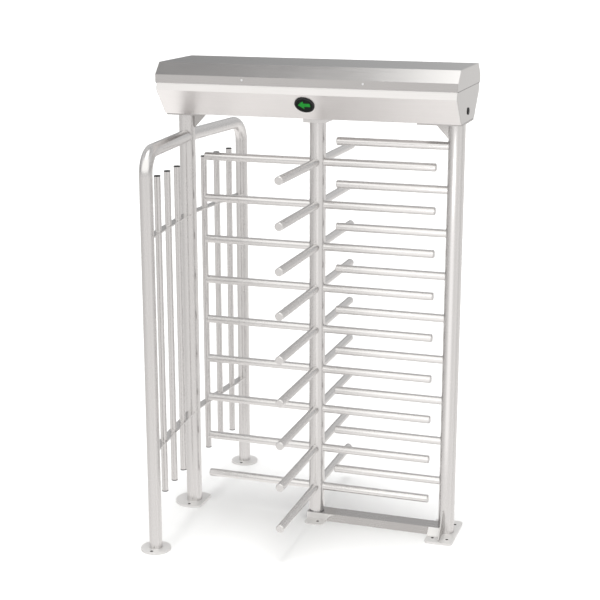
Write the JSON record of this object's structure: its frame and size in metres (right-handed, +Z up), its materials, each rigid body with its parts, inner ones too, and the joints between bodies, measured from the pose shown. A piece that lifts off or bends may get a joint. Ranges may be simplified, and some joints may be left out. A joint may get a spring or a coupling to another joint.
{
  "type": "visitor counter turnstile",
  "caption": "Full-height turnstile with a barred rotor turning through a fixed comb, a tubular side guard, and an overhead housing with indexing, locking and counting gear.",
  "frame": {"origin": "on the floor, on the rotor's axis", "axes": "+Z up, +Y to the rear along the way through, +X towards the comb's post"},
  "size_m": [1.4509, 1.33, 2.22],
  "materials": {
    "stainless": "satin",
    "zinc_steel": "matte",
    "painted_frame": "satin",
    "black_plastic": "matte",
    "black_lens": "gloss",
    "green_sign": "emissive",
    "bronze": "satin",
    "gear_steel": "satin",
    "bearing_steel": "polished",
    "spring_steel": "satin",
    "solenoid_black": "matte",
    "circuit_green": "matte",
    "supply_case": "satin"
  },
  "bodies": {
    "frame": {"left_post": "stainless", "right_post": "stainless", "right_post_base": "stainless", "round_feet": "stainless", "post_top_flanges": "stainless", "gussets": "stainless", "comb_bars": "stainless", "guard_tube_front": "stainless", "guard_tube_rear": "stainless", "guard_rails": "stainless", "guard_bars": "stainless", "guard_bar_caps": "black_plastic", "sill": "stainless", "sill_brackets": "stainless", "floor_pivot": "zinc_steel", "thrust_washer": "bronze", "head_tray": "stainless", "head_ends": "stainless", "frame_rails": "painted_frame", "frame_bolts": "zinc_steel", "mechanism_plate": "zinc_steel", "bearing_housing": "painted_frame", "bearing_outer_ring": "bearing_steel", "bearing_balls": "bearing_steel", "bearing_cover": "stainless", "indicator_bezels": "black_plastic", "indicator_lenses": "black_lens", "indicator_arrows": "green_sign", "key_switch": "black_plastic", "solenoids": "solenoid_black", "mechanism_studs": "zinc_steel", "mechanism_springs": "spring_steel", "damper": "painted_frame", "encoder": "solenoid_black", "control_board": "circuit_green", "power_supply": "supply_case", "hinge_leaves_fixed": "zinc_steel"},
    "rotor": {"rotor_column": "stainless", "rotor_arms_front": "stainless", "rotor_arms_left": "stainless", "rotor_arms_rear": "stainless", "rotor_arms_right": "stainless", "column_hubs": "zinc_steel", "pivot_bush": "bronze", "drive_shaft": "gear_steel", "bearing_inner_ring": "bearing_steel", "locking_disc": "gear_steel", "drive_gear": "gear_steel"},
    "cover": {"head_cover": "stainless", "cover_screws": "zinc_steel", "hinge_leaves_moving": "zinc_steel"},
    "entry_pawl": {"pawl_entry": "gear_steel"},
    "exit_pawl": {"pawl_exit": "gear_steel"},
    "entry_plunger": {"plunger_entry": "zinc_steel"},
    "exit_plunger": {"plunger_exit": "zinc_steel"},
    "crank": {"crank_pinion": "gear_steel"},
    "damper_spindle": {"damper_pinion": "gear_steel"},
    "encoder_spindle": {"encoder_pinion": "gear_steel"},
    "key": {"key_barrel": "zinc_steel"}
  },
  "joints": [
    {"name": "rotor_turn", "type": "hinge", "parent": "frame", "child": "rotor", "pos_m": [0, 0, 0], "axis": [0, 0, 1], "continuous": true},
    {"name": "crank_turn", "type": "hinge", "parent": "frame", "child": "crank", "pos_m": [-0.12, 0, 2.08], "axis": [0, 0, 1], "continuous": true},
    {"name": "damper_turn", "type": "hinge", "parent": "frame", "child": "damper_spindle", "pos_m": [0.12, 0, 2.08], "axis": [0, 0, 1], "continuous": true},
    {"name": "encoder_turn", "type": "hinge", "parent": "frame", "child": "encoder_spindle", "pos_m": [0.08485, -0.08485, 2.08], "axis": [0, 0, 1], "continuous": true},
    {"name": "cover_lift", "type": "hinge", "parent": "frame", "child": "cover", "pos_m": [0, 0.2485, 2.132], "axis": [-1, 0, 0], "range_deg": [0, 75]},
    {"name": "key_turn", "type": "hinge", "parent": "frame", "child": "key", "pos_m": [0.69, 0, 2.025], "axis": [1, 0, 0], "range_deg": [0, 90]},
    {"name": "entry_pawl_swing", "type": "hinge", "parent": "frame", "child": "entry_pawl", "pos_m": [0.02334, 0.10819, 2.061], "axis": [0, 0, -1], "range_deg": [0, 11.5], "stiffness_Nm_per_rad": 0.3},
    {"name": "entry_plunger_slide", "type": "slide", "parent": "frame", "child": "entry_plunger", "axis": [-0.7071, -0.7071, 0], "range_m": [0, 0.007]},
    {"name": "exit_pawl_swing", "type": "hinge", "parent": "frame", "child": "exit_pawl", "pos_m": [-0.02334, -0.10819, 2.061], "axis": [0, 0, -1], "range_deg": [0, 11.5], "stiffness_Nm_per_rad": 0.3},
    {"name": "exit_plunger_slide", "type": "slide", "parent": "frame", "child": "exit_plunger", "axis": [0.7071, 0.7071, 0], "range_m": [0, 0.007]}
  ],
  "couplings": [
    {"joint": "crank_turn", "follows": "rotor_turn", "ratio": -4},
    {"joint": "damper_turn", "follows": "rotor_turn", "ratio": -4},
    {"joint": "encoder_turn", "follows": "rotor_turn", "ratio": -4},
    {"joint": "entry_plunger_slide", "follows": "entry_pawl_swing", "m_per_rad": 0.034866},
    {"joint": "exit_plunger_slide", "follows": "exit_pawl_swing", "m_per_rad": 0.034866}
  ]
}
